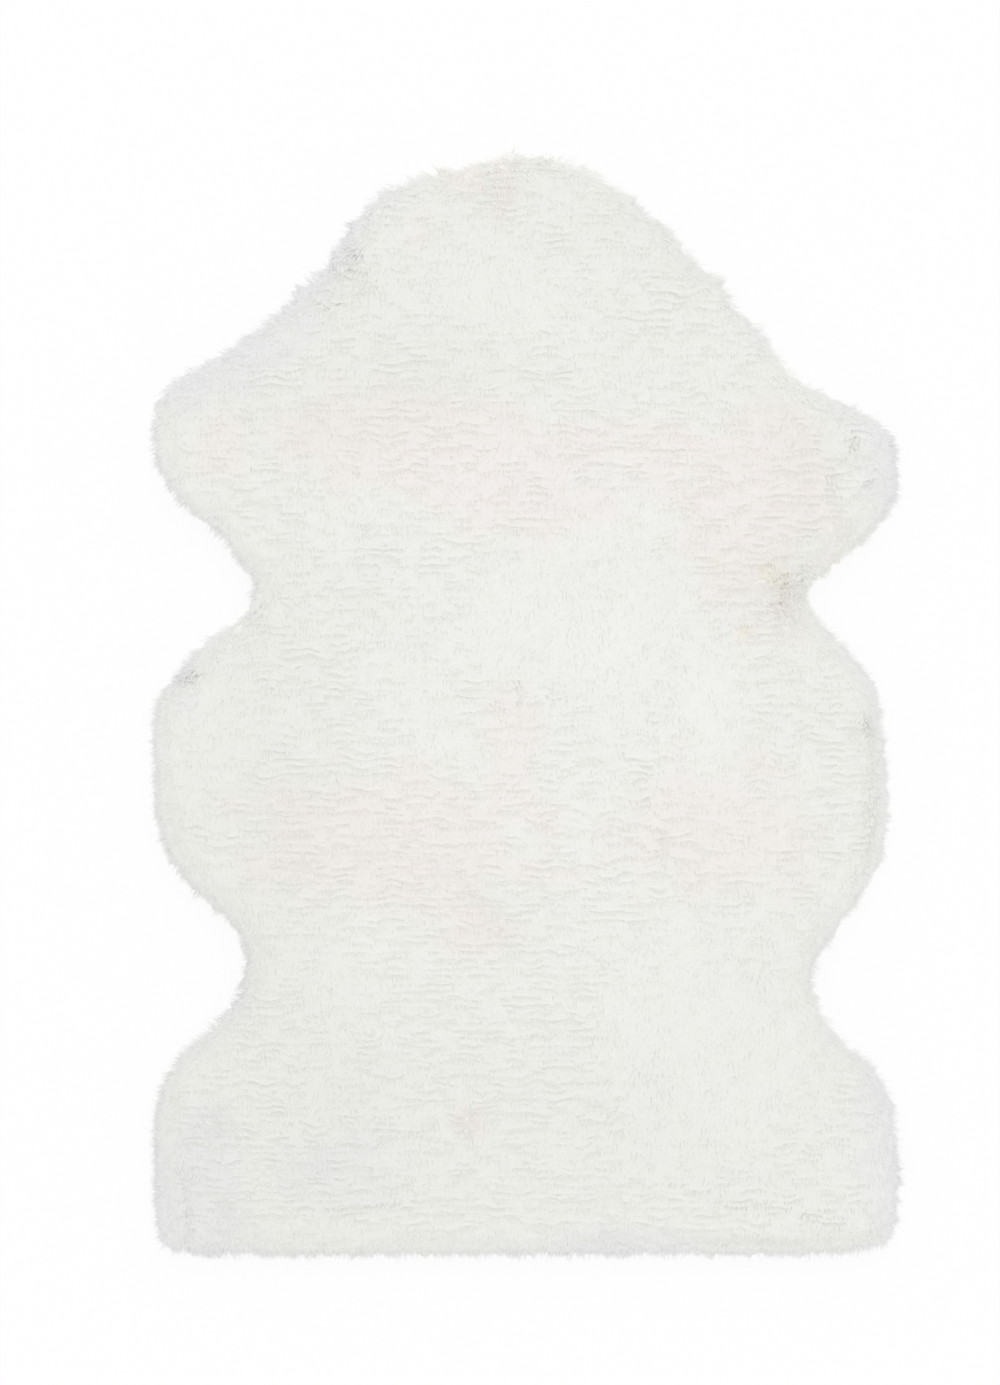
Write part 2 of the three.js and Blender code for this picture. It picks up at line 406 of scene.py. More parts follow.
# %% The lay
TURN_OUT_FROM = 24 * MM  # the lay starts to turn outwards this far from the edge
TURN_OUT_TO = 6 * MM
TURN_OUT_MOST = 0.85  # the share of the way to straight out that it turns at the edge
TURN_OUT_LATER = 1.6  # how much closer to the edge it turns where it leans away from it
WANDER_SLOW = 0.42  # how far the lay wanders over a hand's breadth, in radians
WANDER_QUICK = 0.26  # and over a finger's

uneven = 5 * MM * soft_noise(24 * MM, 24 * MM, 9)
wander = WANDER_SLOW * soft_noise(46 * MM, 38 * MM, 1)
wander += WANDER_QUICK * soft_noise(15 * MM, 12 * MM, 2)
to_hem = wander - math.pi / 2
swing = (np.arctan2(out_y, out_x) - to_hem + math.pi) % (2 * math.pi) - math.pi
against = smooth_step(np.abs(swing), 0.5 * math.pi, 0.9 * math.pi)
later = 1 + TURN_OUT_LATER * against
outward = 1 - smooth_step(later * edge_chart + uneven, TURN_OUT_TO, TURN_OUT_FROM)
bearing = to_hem + TURN_OUT_MOST * swing * outward
lay_x, lay_y = np.cos(bearing), np.sin(bearing)

# %% The partings
# x and y of both ends in mm, how many mm to each side the hair is thrown, how hard, where 1
# is most, and how many mm deep. The length of a row's name also seeds its bend.
PARTINGS = [
    ("right upper waist", 205, 104, 213, 84, 6, 0.7, 1.6),
    ("right upper waist, outer", 220, 104, 230, 86, 5, 0.8, 1.8),
    ("right upper waist, low", 206, 84, 214, 70, 5, 0.7, 1.6),
    ("right upper waist, low outer", 221, 88, 232, 74, 5, 0.7, 1.6),
    ("right upper waist, inner", 196, 86, 202, 74, 4, 0.5, 1.0),
    ("left flank", -292, 19, -270, 22, 5, 0.9, 3.4),
    ("left waist", -225, 69, -214, 77, 3, 0.7, 2.0),
    ("left slope, crest", -139, 403, -127, 400, 4, 0.6, 1.2),
    ("left slope, high", -154, 381, -142, 377, 4, 0.6, 1.3),
    ("left slope, upper", -146, 368, -133, 364, 4, 0.8, 2.0),
    ("left slope, middle", -157, 357, -145, 351, 5, 0.8, 2.2),
    ("left slope, lower", -166, 331, -154, 323, 4, 0.7, 1.4),
    ("right foreleg, curl", 270, 220, 263, 198, 4, 0.6, 1.6),
    ("right foreleg, tip", 285, 186, 265, 169, 4, 0.5, 1.0),
    ("right foreleg, fold", 248, 182, 272, 117, 7, 0.4, 0.5),
    ("right flank", 274, -13, 279, -26, 6, 0.9, 1.5),
    ("right flank, low", 285, -40, 277, -138, 8, 0.4, 0.7),
    ("middle", -8, 56, 14, 47, 4, 0.15, 0.4),
    ("below the middle", -6, 19, -6, -13, 3, 0.35, 0.5),
    ("right body", 111, -103, 111, -127, 3, 0.4, 0.4),
    ("lower middle", -50, -146, -8, -194, 6, 0.3, 0.2),
    ("over the hem", -45, -326, -45, -345, 5, 0.5, 0.5),
    ("left haunch", -275, -387, -278, -440, 3, 0.35, 0.8),
    ("hem, left", -159, -412, -102, -412, 6, 0.15, 0.3),
    ("hem, middle", 77, -383, 126, -402, 4, 0.12, 0.2),
    ("hem, right", 140, -407, 294, -425, 4, 0.15, 0.3),
    ("hem, low right", 215, -419, 294, -433, 4, 0.25, 0.35),
]

PARTING_BEND = 0.25  # how far a parting strays from its line, as a share of its reach
HAIR_THROWN = 0.5  # how much of the lay a parting can take over
TROUGH_REACH = 0.6  # how wide the trough is, as a share of the reach

sunk = np.zeros(grid_x.shape)
loose = np.zeros(grid_x.shape)
for name, x0, y0, x1, y1, reach, throw, depth in PARTINGS:
    start, end = np.array((x0, y0)) * MM, np.array((x1, y1)) * MM
    line = end - start
    along = ((grid_x - start[0]) * line[0] + (grid_y - start[1]) * line[1]) / (line @ line)
    bend = PARTING_BEND * reach * MM * soft_noise(14 * MM, 14 * MM, len(name))
    away_x = grid_x - start[0] - np.clip(along, 0, 1) * line[0] + bend
    away_y = grid_y - start[1] - np.clip(along, 0, 1) * line[1]
    off = np.maximum(np.hypot(away_x, away_y), 0.1 * MM)
    fade = np.exp(-((off / (reach * MM)) ** 2)) * throw
    lay_x = lay_x * (1 - HAIR_THROWN * fade) + away_x / off * HAIR_THROWN * fade
    lay_y = lay_y * (1 - HAIR_THROWN * fade) + away_y / off * HAIR_THROWN * fade
    loose = np.maximum(loose, fade)
    trough = np.exp(-((off / (TROUGH_REACH * reach * MM)) ** 2))
    sunk = np.maximum(sunk, depth * MM * trough)
print("partings:", len(PARTINGS), "deepest in mm", round(sunk.max() / MM, 2))

# %% The ruffled spots
# x and y of the middle and radius in mm, the turn of the lay at the middle in degrees, and how
# loose the hair is, where 1 is wholly loose. The length of a row's name also seeds its noise.
RUFFLES = [
    ("right upper waist", 214, 94, 22, 130, 1.0),
    ("right upper waist, low", 210, 74, 13, -90, 0.8),
    ("left shoulder", -150, 350, 24, -50, 0.45),
    ("left flank", -278, 20, 8, 40, 0.3),
    ("right foreleg", 267, 208, 10, 30, 0.5),
    ("right foreleg, inner", 262, 145, 20, -30, 0.4),
    ("right flank", 276, -20, 12, 100, 0.7),
    ("lower middle", -30, -170, 20, 50, 0.1),
    ("over the hem", -48, -336, 10, -80, 0.4),
    ("left haunch, upper", -252, -335, 12, 80, 0.4),
    ("left haunch, lower", -240, -404, 12, -80, 0.4),
    ("left waist", -226, 76, 12, 70, 0.6),
    ("crest of the neck", -24, 424, 18, 40, 0.4),
]

ruffled = np.zeros(grid_x.shape)
turn = np.zeros(grid_x.shape)
for name, x, y, radius, degrees, looseness in RUFFLES:
    fade = np.exp(-((np.hypot(grid_x - x * MM, grid_y - y * MM) / (radius * MM)) ** 2))
    turn += math.radians(degrees) * fade * (0.6 + 0.8 * soft_noise(7 * MM, 7 * MM, len(name)))
    ruffled = np.maximum(ruffled, fade)
    loose = np.maximum(loose, looseness * fade)
lay_x, lay_y = (lay_x * np.cos(turn) - lay_y * np.sin(turn),
                lay_x * np.sin(turn) + lay_y * np.cos(turn))
# Where neighbours lie in different ways, the hair is loose too.
LAY_BLUR = 6
agreed = np.hypot(blurred(lay_x, LAY_BLUR), blurred(lay_y, LAY_BLUR))
loose = np.maximum(loose, 1 - smooth_step(agreed, 0.3, 0.85))
print("ruffled spots:", len(RUFFLES), "least agreement of the lay", round(agreed.min(), 2))

# %% [markdown]
# ## How strongly the nap breaks into locks
# Fake fur of this kind never lies as one sheet. Its hairs gather into small flat locks,
# wider than they are long, and each lock ends in a low step over the next. That gives the
# nap its fine ripple. The steps are strong in some patches and almost gone in others.

# %% Patches of stronger and weaker ripple
RIPPLE = 0.5  # over most of the rug: 0 is smooth, 1 is broken into clear steps
RIPPLE_VARIES = 0.22
RUFFLED_RIPPLE = 0.3  # what a ruffled spot adds
LEAST_RIPPLE = 0.05

# x and y of the middle, half width and half length in mm, and what is added to the ripple.
PATCHES = [
    ("left body", -135, -100, 110, 60, 0.2),
    ("lower middle", -25, -250, 75, 110, 0.25),
    ("upper middle", -30, 225, 110, 70, -0.02),
    ("right foreleg", 272, 185, 40, 60, 0.25),
    ("right flank", 266, -60, 30, 80, 0.35),
    ("right waist", 210, 90, 50, 40, 0.25),
    ("left haunch", -240, -370, 60, 60, 0.3),
    ("hem", 0, -415, 250, 30, 0.25),
    ("centre", 30, 75, 80, 60, -0.36),
    ("centre right", 120, 10, 70, 60, -0.22),
    ("lower right", 150, -290, 90, 110, -0.32),
    ("left flank", -250, -40, 45, 60, -0.2),
    ("neck", -10, 360, 90, 70, -0.16),
]

ripple = RIPPLE + RIPPLE_VARIES * soft_noise(60 * MM, 60 * MM, 3) + RUFFLED_RIPPLE * ruffled
ripple = np.clip(with_patches(ripple, PATCHES, 0.5, 1.4), LEAST_RIPPLE, 1)
print("ripple from", round(ripple.min(), 2), "to", round(ripple.max(), 2))

# %% [markdown]
# ## Warm and cool hair
# White fibre isn't one white. Over most of the rug it is neutral, broad patches of it lean
# to a faint rose, and at the rim, where the tips are thin and look into the shade, it is
# painted a little grey and cool: a painted shade. A few spots have yellowed. The chart holds
# 0 for cool, 0.4 for neutral, 0.8 for rose and 1 for yellowed, and every strand takes its own
# tint from it.
# A second chart paints light and shade into the hair: painted shade darkens the nap a little
# away from the middle and where the rim bends over, and painted light lifts the thin tips at
# the edge.

# %% Warm and cool patches
# x and y of the middle, half width and half length in mm, and what is added to the warmth.
TINTED = [
    ("upper band", -88, 222, 118, 46, 0.34),
    ("upper band, low", -15, 182, 70, 52, 0.3),
    ("left foreleg", -247, 213, 20, 34, 0.26),
    ("upper band, right", 95, 208, 70, 38, 0.25),
    ("right shoulder", 190, 168, 60, 95, 0.34),
    ("left body", -105, -104, 118, 58, 0.36),
    ("right body", 150, -96, 92, 54, 0.3),
    ("middle line", -8, -20, 30, 60, 0.26),
    ("below the middle", -36, -180, 34, 20, 0.3),
    ("over the hem", -45, -335, 13, 13, 0.34),
    ("crest of the neck", -21, 424, 9, 22, 0.3),
    ("crest of the neck, left", -47, 428, 17, 10, 0.28),
    ("left shoulder, high", -87, 393, 14, 14, 0.22),
    ("left haunch", -270, -395, 48, 68, -0.34),
    ("right haunch", 288, -350, 20, 70, -0.28),
    ("hem, left", -155, -376, 52, 36, -0.22),
    ("left foreleg, edge", -278, 256, 24, 14, -0.34),
    ("left foreleg, high", -242, 272, 26, 15, -0.34),
    ("left shoulder, low", -206, 292, 26, 15, -0.34),
    ("left slope, low", -178, 318, 18, 18, -0.34),
    ("left slope", -160, 347, 14, 18, -0.34),
    ("left slope, upper", -146, 374, 12, 18, -0.34),
    ("left slope, top", -133, 397, 12, 14, -0.3),
    ("right foreleg", 292, 198, 18, 42, -0.34),
    ("left flank, high", -276, 25, 14, 22, -0.28),
    ("left lower waist", -232, -215, 14, 40, -0.22),
    ("hem, low", 90, -432, 85, 13, -0.24),
]

# Where the rim gets less of the painted cool shade than elsewhere.
LESS_RIM_SHADE = [
    ("crest of the neck", -10, 445, 110, 40, -0.26),
    ("right slope of the neck", 110, 350, 80, 90, -0.14),
    ("under the right foreleg", 250, 120, 50, 50, -0.1),
]

# Hair that has yellowed.
YELLOWED = [
    ("crest of the neck", -36, 433, 5, 7, 0.3),
    ("right upper waist", 203, 106, 13, 14, 0.5),
    ("right upper waist, low", 176, 64, 10, 5, 0.48),
    ("right shoulder", 155, 123, 4, 4, 0.25),
]

NEUTRAL = 0.4
MOST_ROSE = 0.76
RIM_PAINTED_SHADE = 0.3  # how much cooler and greyer the rim is painted, as painted shade

warmth = NEUTRAL + 0.05 * soft_noise(26 * MM, 26 * MM, 5)
patchy = 0.35 * soft_noise(34 * MM, 30 * MM, 6)
warmth = np.minimum(with_patches(warmth, TINTED, 0.55, 1.35, patchy), MOST_ROSE)
# Painted shade: the rim is painted cooler and greyer than the hair farther in.
rim_shade_paint = with_patches(RIM_PAINTED_SHADE, LESS_RIM_SHADE, 0.6, 1.4)
warmth -= rim_shade_paint * (1 - smooth_step(edge_chart + 0.5 * uneven, 2 * MM, 14 * MM))
warmth = np.clip(with_patches(warmth, YELLOWED, 0.7, 1.2, patchy), 0, 1)
print("warmth from", round(warmth.min(), 2), "to", round(warmth.max(), 2))

# %% Painted light and shade
# x and y of the middle, half width and half length in mm, and what is added to the painted
# light and shade. The nap is painted lighter in the middle and darker towards the left, the
# haunches and the hem, a painted falloff of the light.
LIGHT_AND_SHADE_PATCHES = [
    ("middle", 50, 20, 190, 200, 0.09),
    ("upper band", 30, 200, 190, 60, 0.08),
    ("right foreleg", 272, 172, 34, 60, 0.18),
    ("right flank", 270, -60, 30, 90, 0.05),
    ("neck", 10, 380, 90, 50, -0.03),
    ("left flank", -235, -80, 90, 170, -0.12),
    ("left waist", -170, 70, 70, 60, -0.08),
    ("lower left", -220, -320, 130, 150, -0.2),
    ("lower middle", -10, -370, 170, 110, -0.11),
    ("right haunch", 190, -300, 120, 110, -0.1),
    ("hem, low right", 192, -437, 72, 9, -0.3),
    ("left shoulder", -150, 265, 130, 60, -0.08),
    ("right shoulder", 230, 225, 60, 40, -0.05),
]

PLAIN_TONE = 0.88
SHOULDER_PAINTED_SHADE = 0.1  # painted shade where the nap bends over towards the sides and the hem
RIM_PAINTED_LIGHT = 0.22  # painted light at the edge, where only thin tips are left

light_and_shade_tone = PLAIN_TONE + 0.02 * soft_noise(50 * MM, 40 * MM, 15)
light_and_shade_tone = with_patches(light_and_shade_tone, LIGHT_AND_SHADE_PATCHES, 0.3, 1.4)
light_and_shade_tone -= SHOULDER_PAINTED_SHADE * (1 - against) * (1 - smooth_step(edge_chart, 6 * MM, 16 * MM))
light_and_shade_tone += RIM_PAINTED_LIGHT * (1 - smooth_step(edge_chart, 0, 7 * MM))
light_and_shade_tone = np.clip(light_and_shade_tone, 0, 1)
print("tone from", round(light_and_shade_tone.min(), 2), "to", round(light_and_shade_tone.max(), 2))

# %% [markdown]
# ## The strands
# A modelled strand is a slim kite of two triangles: a point at the root, its widest place
# where the hair bends over, and a point at the tip. One stands for a pinch of real hairs.
# That is as fine as the rug's size allows, and it still gives tips, partings and the ragged
# edge a real shape. All of them are made from arrays, because no tool that works by
# hand could place so many.

# %% [markdown]
# ## The bed of the nap
# Under its tips the hair stands so close that no light gets through, and the eye sees one
# soft mass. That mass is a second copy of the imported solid: it is cut finer, shrunk along its
# own normals until it lies just under the tips, and set down on the cloth. The strands that
# are seen grow out of it.

# %% Shrink a copy into the bed
BED_DEPTH = 0.4 * MM  # how far the bed lies below the tips
BED_PULLED_IN = 8 * MM  # how far its side is drawn in, so that hair can hide it
BED_TOP = 0.6  # points above this share of the rim's height belong to the top

bed = cad_copy("pile_bed")
bpy.ops.object.mode_set(mode="EDIT")
bpy.ops.mesh.select_all(action="SELECT")
bpy.ops.mesh.subdivide(number_cuts=2)
bpy.ops.object.mode_set(mode="OBJECT")
shrink = bed.modifiers.new("shrink", "DISPLACE")
shrink.mid_level = 0
shrink.strength = -BED_DEPTH
bpy.ops.object.modifier_apply(modifier="shrink")
bpy.ops.object.mode_set(mode="EDIT")
bpy.ops.mesh.select_mode(type="FACE")
select_faces(bed, lambda face: face.normal.z < -0.5)
bpy.ops.transform.resize(value=(1, 1, 0), center_override=(0, 0, GROUND_THICKNESS))
bpy.ops.object.mode_set(mode="OBJECT")
bpy.ops.object.shade_smooth()
bed_points = np.array([v.co for v in bed.data.vertices])
bed_x, bed_y = bed_points[:, 0], bed_points[:, 1]
pull = BED_PULLED_IN * (1 - smooth_step(read_chart(edge_chart, bed_x, bed_y), 2 * MM, 20 * MM))
bed_x = bed_x - pull * read_chart(out_x, bed_x, bed_y)
bed_y = bed_y - pull * read_chart(out_y, bed_points[:, 0], bed_y)
on_top = bed_points[:, 2] > BED_TOP * rim_height
lid = read_chart(height_chart, bed_x, bed_y) - BED_DEPTH - read_chart(sunk, bed_x, bed_y)
bed_points = np.stack((bed_x, bed_y, np.where(on_top, lid, bed_points[:, 2])), 1)
bed.data.vertices.foreach_set("co", bed_points.astype(np.float32).ravel())
bed.data.update()
print("bed:", len(bed.data.polygons), "faces")

# %% Roots
chance = np.random.default_rng(20)


def scattered(spacing, nearest, farthest):
    """Places about one spacing apart whose distance from the edge is in the given range."""
    x, y = np.meshgrid(np.arange(chart_x[0], chart_x[-1], spacing),
                       np.arange(chart_y[0], chart_y[-1], spacing))
    x = (x + chance.uniform(-0.5, 0.5, x.shape) * spacing).ravel()
    y = (y + chance.uniform(-0.5, 0.5, y.shape) * spacing).ravel()
    off = read_chart(edge_chart, x, y)
    keep = (off > nearest) & (off < farthest)
    return x[keep], y[keep]


# %% Where the locks end
# The locks lie in rows across the rug. The chart counts the rows from the hem, and its noise
# bends them and breaks them off. A strand that would cross into the next row ends there.
LOCK_LENGTH = 6.3 * MM
LOCK_WIDTH = 20 * MM
ROW_BENDS = 0.7  # how far a row bends, in rows
ROW_FRAYS = 0.3

rows = grid_y / LOCK_LENGTH + ROW_BENDS * soft_noise(LOCK_WIDTH, 9 * MM, 7)
rows += ROW_FRAYS * soft_noise(8 * MM, 6 * MM, 8)
closed = smooth_step(soft_noise(LOCK_WIDTH, LOCK_LENGTH, 13), -0.3, 0.2)
lift = soft_noise(12 * MM, LOCK_LENGTH, 14)
print("rows of locks:", round(rows.max() - rows.min()))

# %% One batch of strands
STRAND_WIDTH = 1.1 * MM
STRAND_RUN = 13 * MM  # how far a strand's tip lies from above its root
WIDEST_AT = 0.85  # the share of the run at which a strand is widest; at the rim it is less
STEP_LEAST = 0.15 * MM  # the height of a lock's end over the next lock, where it is smooth
STEP_MOST = 0.5 * MM  # and where the ripple is strongest
TUFT_DRAW = 12 * MM * MM  # how far tips at the rim move, for a slope of 1 in the tufts' chart
LOOSE_TURN = 6  # how much more a loose strand strays from the lay
TORN_TURN = 4  # and one that stands between two lays
LOOSE_SHORTER = 0.55  # how much of its run a loose strand loses
SHORT_ROW = 0.45  # a strand rooted nearer than this to its row's end goes on to the next
RIM_FREER = 0.3  # how much less the rows hold at the rim
LENGTH_SPREAD = 0.3 * MM
HEIGHT_SPREAD = 0.02 * MM
TUFTS_FROM = 14 * MM  # the tips are drawn together from this far inside
SUNK_TIPS = 0.4  # tips bridge a trough, and sink only by this share of its depth


def grow(x, y, run, overhang, spread, strength):
    """Root, widest place left and right, and tip of each strand, as an (n, 4, 3) array."""
    count = len(x)
    turn = chance.normal(0, spread, count)
    ax, ay = read_chart(lay_x, x, y), read_chart(lay_y, x, y)
    size = np.maximum(np.hypot(ax, ay), 0.05)
    ax, ay = ax / size, ay / size
    mess = read_chart(loose, x, y)
    turn = turn * (1 + LOOSE_TURN * mess + TORN_TURN * (1 - smooth_step(size, 0.2, 0.8)))
    ax, ay = ax * np.cos(turn) - ay * np.sin(turn), ax * np.sin(turn) + ay * np.cos(turn)
    run = run * chance.uniform(0.85, 1.12, count) * np.clip(size / 0.7, 0.4, 1)
    run = run * (1 - LOOSE_SHORTER * mess)
    leaving = np.maximum(ax * read_chart(out_x, x, y) + ay * read_chart(out_y, x, y), 0.05)
    run = np.minimum(run, np.maximum((read_chart(edge_chart, x, y) + overhang) / leaving, 3 * MM))
    tip_x, tip_y = x + ax * run, y + ay * run
    fringe = read_chart(outward, tip_x, tip_y)
    force = read_chart(ripple, tip_x, tip_y)
    row = read_chart(rows, x, y)
    crossed = row - read_chart(rows, tip_x, tip_y)
    to_end = row % 1
    to_end = np.where(to_end < SHORT_ROW, to_end + 1, to_end)
    held = strength * force * (0.25 + 1.5 * read_chart(closed, x, y)) * (1 - RIM_FREER * fringe)
    stops = (crossed > to_end) & (chance.uniform(0, 1, count) < held)
    share = np.where(stops, to_end / np.maximum(crossed, 0.1), 1)
    share += chance.normal(0, LENGTH_SPREAD, count) / run
    tip_x, tip_y = x + ax * run * share, y + ay * run * share
    from_edge = read_chart(edge_chart, tip_x, tip_y)
    drawn = TUFT_DRAW * (1 - smooth_step(from_edge, 0, TUFTS_FROM))
    tip_x, tip_y = (tip_x + drawn * read_chart(draw_x, tip_x, tip_y),
                    tip_y + drawn * read_chart(draw_y, tip_x, tip_y))
    step = STEP_LEAST + (STEP_MOST - STEP_LEAST) * force
    widest = WIDEST_AT - 0.4 * fringe
    bend_x, bend_y = x + (tip_x - x) * widest, y + (tip_y - y) * widest
    tip_z = read_chart(height_chart, tip_x, tip_y) - SUNK_TIPS * read_chart(sunk, tip_x, tip_y)
    proud = 0.3 * read_chart(lift, x, y) + np.where(stops, 0.1, -0.4)
    tip_z += proud * step + chance.normal(0, HEIGHT_SPREAD, count) * (1 + 10 * mess)
    bend_z = read_chart(height_chart, bend_x, bend_y)
    bend_z = bend_z - SUNK_TIPS * read_chart(sunk, bend_x, bend_y)
    bend_z += (proud + 0.1) * step + chance.normal(0, HEIGHT_SPREAD, count) * (1 + 10 * mess)
    root_z = read_chart(height_chart, x, y) - read_chart(sunk, x, y)
    root_z -= np.maximum(1.4 * step, BED_DEPTH + 0.15 * MM)
    root_z = np.maximum(root_z, GROUND_THICKNESS)
    bend_z = np.maximum(bend_z, root_z + 0.2 * MM)
    tip_z = np.maximum(tip_z, 0.8 * MM)
    root = np.stack((x, y, root_z), 1)
    bend = np.stack((bend_x, bend_y, bend_z), 1)
    tip = np.stack((tip_x, tip_y, tip_z), 1)
    forward = tip - root
    forward /= np.linalg.norm(forward, axis=1)[:, None]
    side = np.cross((0, 0, 1), forward)
    side /= np.maximum(np.linalg.norm(side, axis=1), 1e-6)[:, None]
    above = np.cross(forward, side)
    roll = chance.normal(0, math.radians(2), count)[:, None]
    half = (STRAND_WIDTH / 2 * (1 - 0.4 * fringe) * chance.uniform(0.85, 1.15, count))[:, None]
    wide = (side * np.cos(roll) + above * np.sin(roll)) * half
    return np.stack((root, bend + wide, bend - wide, tip), 1)


def strands_to_mesh(name, points, tint, light, at_root):
    """A mesh of kites with a map: across it the strand's tint, up it its painted light and shade.

    At its root a strand has only the share at_root of its light, which paints the shade deep in the nap.
    """
    count = len(points)
    mesh = bpy.data.meshes.new(name)
    mesh.vertices.add(4 * count)
    mesh.vertices.foreach_set("co", points.astype(np.float32).ravel())
    corners = (np.arange(count)[:, None] * 4 + np.array((0, 2, 1, 1, 2, 3))).ravel()
    mesh.loops.add(6 * count)
    mesh.loops.foreach_set("vertex_index", corners.astype(np.int32))
    mesh.polygons.add(2 * count)
    mesh.polygons.foreach_set("loop_start", np.arange(0, 6 * count, 3, dtype=np.int32))
    mesh.update(calc_edges=True)
    chart = mesh.uv_layers.new(name="OFBake")
    across = tint[:, None] + np.array((0, 1, -1, -1, 1, 0)) * 0.0015
    up = light[:, None] * np.array((1, 0.85, 0.85, 0.85, 0.85, 1))
    # The root keeps only part of the strand's light: painted shade deep in the nap.
    up[:, 0] *= at_root
    chart.uv.foreach_set("vector", np.stack((across, up), 2).astype(np.float32).ravel())
    mesh.validate()
    piece = bpy.data.objects.new(name, mesh)
    bpy.context.collection.objects.link(piece)
    select_only(piece)
    bpy.ops.object.shade_smooth()
    return piece


# %% Grow the nap in four lengths of the rug
ROOT_SPACING = 1.08 * MM
OPEN_NAP_PAINTED_SHADE = 0.9  # painted shade: how much of its light a strand may lose where the nap lies open
NAP_OVERHANG = -2.5 * MM  # where the nap's tips end, from the reach; the rim's hair goes on
NAP_OVERHANG_SPREAD = 2.8 * MM
NAP_STRAY = math.radians(5)

root_x, root_y = scattered(ROOT_SPACING, 5.5 * MM, np.inf)
overhang = chance.normal(NAP_OVERHANG, NAP_OVERHANG_SPREAD, len(root_x))
overhang = overhang.clip(-9 * MM, 3 * MM)
overhang += read_chart(ragged, root_x, root_y)
nap = grow(root_x, root_y, STRAND_RUN, overhang, NAP_STRAY, 1.0)
tint = np.clip(read_chart(warmth, root_x, root_y)
               + chance.normal(0, 0.03, len(root_x)), 0.01, 0.99)
cuts = np.quantile(root_y, (0.25, 0.5, 0.75))
zones = {"nap_haunches": root_y < cuts[0],
         "nap_flanks": (root_y >= cuts[0]) & (root_y < cuts[1]),
         "nap_forelegs": (root_y >= cuts[1]) & (root_y < cuts[2]),
         "nap_neck": root_y >= cuts[2]}
# Each strand takes its painted light and shade from the chart, and where the nap lies open some get a
# painted shade of their own.
light = read_chart(light_and_shade_tone, root_x, root_y)
light *= 1 - OPEN_NAP_PAINTED_SHADE * read_chart(loose, root_x, root_y) * chance.uniform(0, 1, len(root_x))
# Roots are painted dark, as painted shade deep in the nap. At the crest the nap leans away
# from the edge, so its roots are seen and get less of that painted shade.
bare = read_chart(against * (1 - smooth_step(edge_chart, 8 * MM, 20 * MM)), root_x, root_y)
at_root = 0.1 + 0.8 * bare
nap_pieces = [strands_to_mesh(name, nap[zone], tint[zone], light[zone], at_root[zone])
              for name, zone in zones.items()]
print("nap triangles:", {p.name: len(p.data.polygons) for p in nap_pieces})

# %% [markdown]
# ## The hair at the rim
# Past the cut edge of the cloth only hair is left. It fans outwards and gathers in small
# pointed tufts, which is what makes the outline soft. More hair hangs below it, over the side.

# %% Grow the rim
RIM_SPACING = 0.58 * MM
RIM_RUN = 14 * MM
RIM_OVERHANG = 1.2 * MM  # how far past the reach the rim's tips end, on the whole
RIM_VARIES = 3.2 * MM  # how much that varies from strand to strand
CREST_VARIES = 1.8 * MM  # and how much more at the crest
RIM_STRAY = math.radians(11)

rim_x, rim_y = scattered(RIM_SPACING, 4 * MM, 16 * MM)
thinned = smooth_step(read_chart(edge_chart, rim_x, rim_y), 6 * MM, 16 * MM)
kept = chance.uniform(0, 1, len(rim_x)) > thinned
rim_x, rim_y = rim_x[kept], rim_y[kept]
overhang = chance.normal(0, 1, len(rim_x)).clip(-2.2, 2.6)
overhang *= RIM_VARIES + CREST_VARIES * read_chart(against, rim_x, rim_y)
overhang += RIM_OVERHANG + read_chart(ragged, rim_x, rim_y)
over_edge = grow(rim_x, rim_y, RIM_RUN, overhang, RIM_STRAY, 0.6)
over_edge[:, 0, 2] -= 0.5 * MM
over_edge[:, 3, 2] += chance.normal(-0.5 * MM, 1 * MM, len(rim_x))

# %% Hang hair down the side
# Below the rim the hair hangs over the cut edge of the cloth. It starts at any height, more
# of it low down than high up, and the lower it starts, the farther out it may stand.
HANG_LOWEST = 0.09  # where it starts, as shares of the rim's height
HANG_RANGE = 0.87
HANG_STRAY = math.radians(20)
HANG_BEND = 0.45  # the share of its run at which a hanging strand bends

hang_x, hang_y = scattered(RIM_SPACING, 6 * MM, 8.5 * MM)
count = len(hang_x)
share_up = HANG_LOWEST + HANG_RANGE * chance.uniform(0, 1, count) ** 1.6
level = np.maximum(rim_height * share_up, 2.2 * MM)
way = np.arctan2(read_chart(out_y, hang_x, hang_y), read_chart(out_x, hang_x, hang_y))
way += chance.normal(0, HANG_STRAY, count)
run = read_chart(edge_chart, hang_x, hang_y) - chance.uniform(0.5 * MM, 5.5 * MM, count)
run = np.maximum(run + 2 * MM * (1 - share_up), 1.5 * MM)
drop = chance.uniform(3 * MM, 8 * MM, count)
side = np.stack((-np.sin(way), np.cos(way), np.zeros(count)), 1) * 0.3 * STRAND_WIDTH
root = np.stack((hang_x, hang_y, level), 1)
bend = root + np.stack((HANG_BEND * run * np.cos(way), HANG_BEND * run * np.sin(way),
                        np.full(count, -1 * MM)), 1)
tip = np.stack((hang_x + run * np.cos(way), hang_y + run * np.sin(way),
                np.maximum(level - drop, 0.4 * MM)), 1)
hanging = np.stack((root, bend + side, bend - side, tip), 1)
rim = np.concatenate((over_edge, hanging))
rim_tint = np.clip(read_chart(warmth, rim[:, 0, 0], rim[:, 0, 1])
                   + chance.normal(0, 0.04, len(rim)), 0.01, 0.99)
rim_light = read_chart(light_and_shade_tone, rim[:, 3, 0], rim[:, 3, 1])
# The hanging hair is painted at full light, a painted light that lifts the shade under the rim.
rim_light[len(over_edge):] = 1
# The rim's roots get less painted shade than the nap's, most where the hair leans away from the edge.
at_root = 0.6 + 0.4 * read_chart(against, rim[:, 0, 0], rim[:, 0, 1])
rim_hair = strands_to_mesh("rim_hair", rim, rim_tint, rim_light, at_root)
print("rim triangles:", len(rim_hair.data.polygons))
